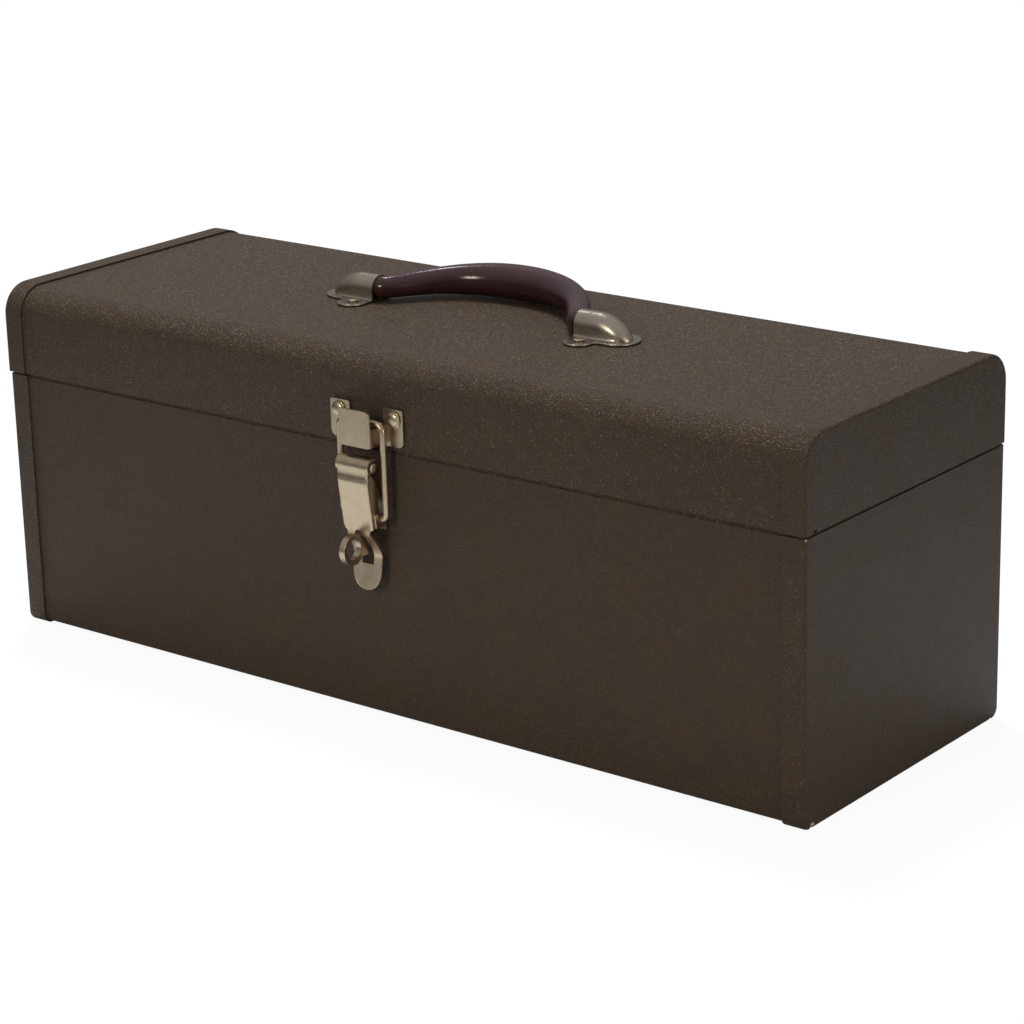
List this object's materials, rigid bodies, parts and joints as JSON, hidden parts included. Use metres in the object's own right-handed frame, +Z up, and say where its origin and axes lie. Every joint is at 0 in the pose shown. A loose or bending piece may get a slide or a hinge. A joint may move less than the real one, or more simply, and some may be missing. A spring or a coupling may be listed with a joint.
{
  "type": "tool box",
  "caption": "Long sheet-steel tool box with a round-edged hinged lid, a folding carrying handle, a draw latch with a padlock eye, and a lift-out tray with a hand-hole divider.",
  "frame": {"origin": "on the ground, at the middle of the box's length and midway between the padlock eye's front edge and the back of the hinge's barrel", "axes": "+X along the box's length to the right as seen from the front, +Y from the front with the latch to the back with the hinge, +Z up"},
  "size_m": [0.487, 0.1956, 0.1983],
  "materials": {
    "brown_paint": "baked brown wrinkle paint with a fine pebbled grain, pale where the grain catches the light",
    "nickel": "warm nickel plate, satin, with soft wear",
    "maroon_grip": "smooth glossy dark maroon plastic",
    "tray_paint": "baked brown wrinkle paint, as on the box"
  },
  "bodies": {
    "box": {"body_shell": "brown_paint", "body_end_right": "brown_paint", "body_end_left": "brown_paint", "tray_rest_right": "brown_paint", "tray_rest_left": "brown_paint", "hinge_leaf_body": "brown_paint", "hinge_pin": "nickel", "latch_base": "nickel", "latch_pin": "nickel", "padlock_eye": "nickel", "latch_base_rivet_upper": "nickel", "latch_base_rivet_lower": "nickel"},
    "lid": {"lid_shell": "brown_paint", "lid_end_right": "brown_paint", "lid_end_left": "brown_paint", "hinge_leaf_lid": "brown_paint", "keeper": "nickel", "keeper_rivet_right": "nickel", "keeper_rivet_left": "nickel", "handle_bracket_right": "nickel", "handle_bracket_left": "nickel", "handle_bracket_rivet_left_front": "nickel", "handle_bracket_rivet_left_back": "nickel", "handle_bracket_rivet_right_front": "nickel", "handle_bracket_rivet_right_back": "nickel"},
    "handle": {"handle_grip": "maroon_grip", "handle_wire": "nickel"},
    "lever": {"latch_lever": "nickel"},
    "bail": {"latch_bail": "nickel"},
    "tray": {"tray_pan": "tray_paint", "tray_end_right": "tray_paint", "tray_end_left": "tray_paint", "tray_divider": "tray_paint"}
  },
  "joints": [
    {"name": "lid_hinge", "type": "hinge", "parent": "box", "child": "lid", "pos_m": [0, 0.0955, 0.136], "axis": [-1, 0, 0], "range_deg": [0, 110]},
    {"name": "handle_fold", "type": "hinge", "parent": "lid", "child": "handle", "pos_m": [0, 0.0095, 0.1872], "axis": [1, 0, 0], "range_deg": [0, 172]},
    {"name": "latch_open", "type": "hinge", "parent": "box", "child": "lever", "pos_m": [0, -0.0842, 0.1298], "axis": [-1, 0, 0], "range_deg": [0, 90]},
    {"name": "bail_swing", "type": "hinge", "parent": "lever", "child": "bail", "pos_m": [0, -0.08, 0.1037], "axis": [-1, 0, 0], "range_deg": [-46, 0]},
    {"name": "tray_lift", "type": "slide", "parent": "box", "child": "tray", "axis": [0, 0, 1], "range_m": [0, 0.018]}
  ],
  "couplings": [
    {"joint": "bail_swing", "follows": "latch_open", "ratio": -0.51}
  ]
}
